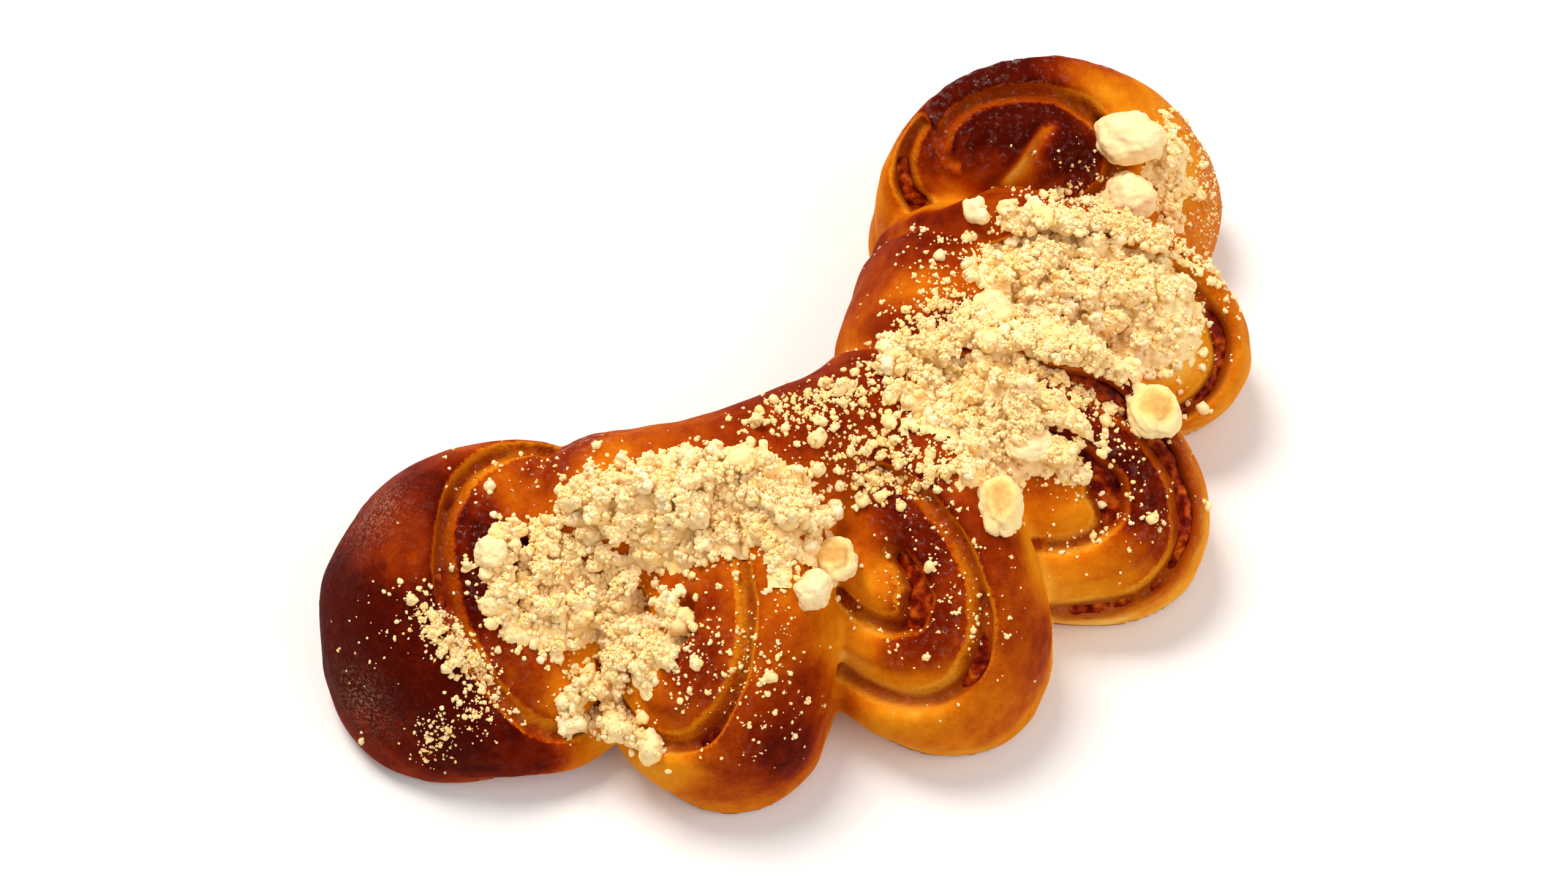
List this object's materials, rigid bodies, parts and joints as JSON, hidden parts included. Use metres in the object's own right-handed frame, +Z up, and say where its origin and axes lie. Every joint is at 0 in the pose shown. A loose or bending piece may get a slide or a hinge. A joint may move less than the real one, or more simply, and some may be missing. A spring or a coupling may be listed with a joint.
{
  "type": "jam bun",
  "caption": "Crescent-shaped sweet yeast bun of a jam-filled roll, snipped and fanned into slices that show their spirals, topped with streusel.",
  "frame": {"origin": "centre of the bounding box in plan, on the plane that the bun rests on", "axes": "+Z up, +X along the crescent's long extent towards the fanned end, +Y towards the crescent's inner side"},
  "size_m": [0.1741, 0.1455, 0.0455],
  "materials": {
    "crust": "egg-washed, browned yeast dough, satin gloss",
    "jam": "baked red fruit jam, glossy",
    "streusel": "butter crumble, matt and sandy"
  },
  "bodies": {
    "root": {"dough": "crust", "jam_a_1": "jam", "jam_a_2": "jam", "jam_b_1": "jam", "jam_b_2": "jam", "jam_c_1": "jam", "jam_c_2": "jam", "jam_d_1": "jam", "jam_d_2": "jam", "jam_e_1": "jam", "jam_e_2": "jam", "jam_f_1": "jam", "lump_1": "streusel", "lump_2": "streusel", "lump_3": "streusel", "lump_4": "streusel", "lump_5": "streusel", "lump_6": "streusel", "lump_7": "streusel", "lump_8": "streusel", "lump_9": "streusel"}
  },
  "joints": []
}
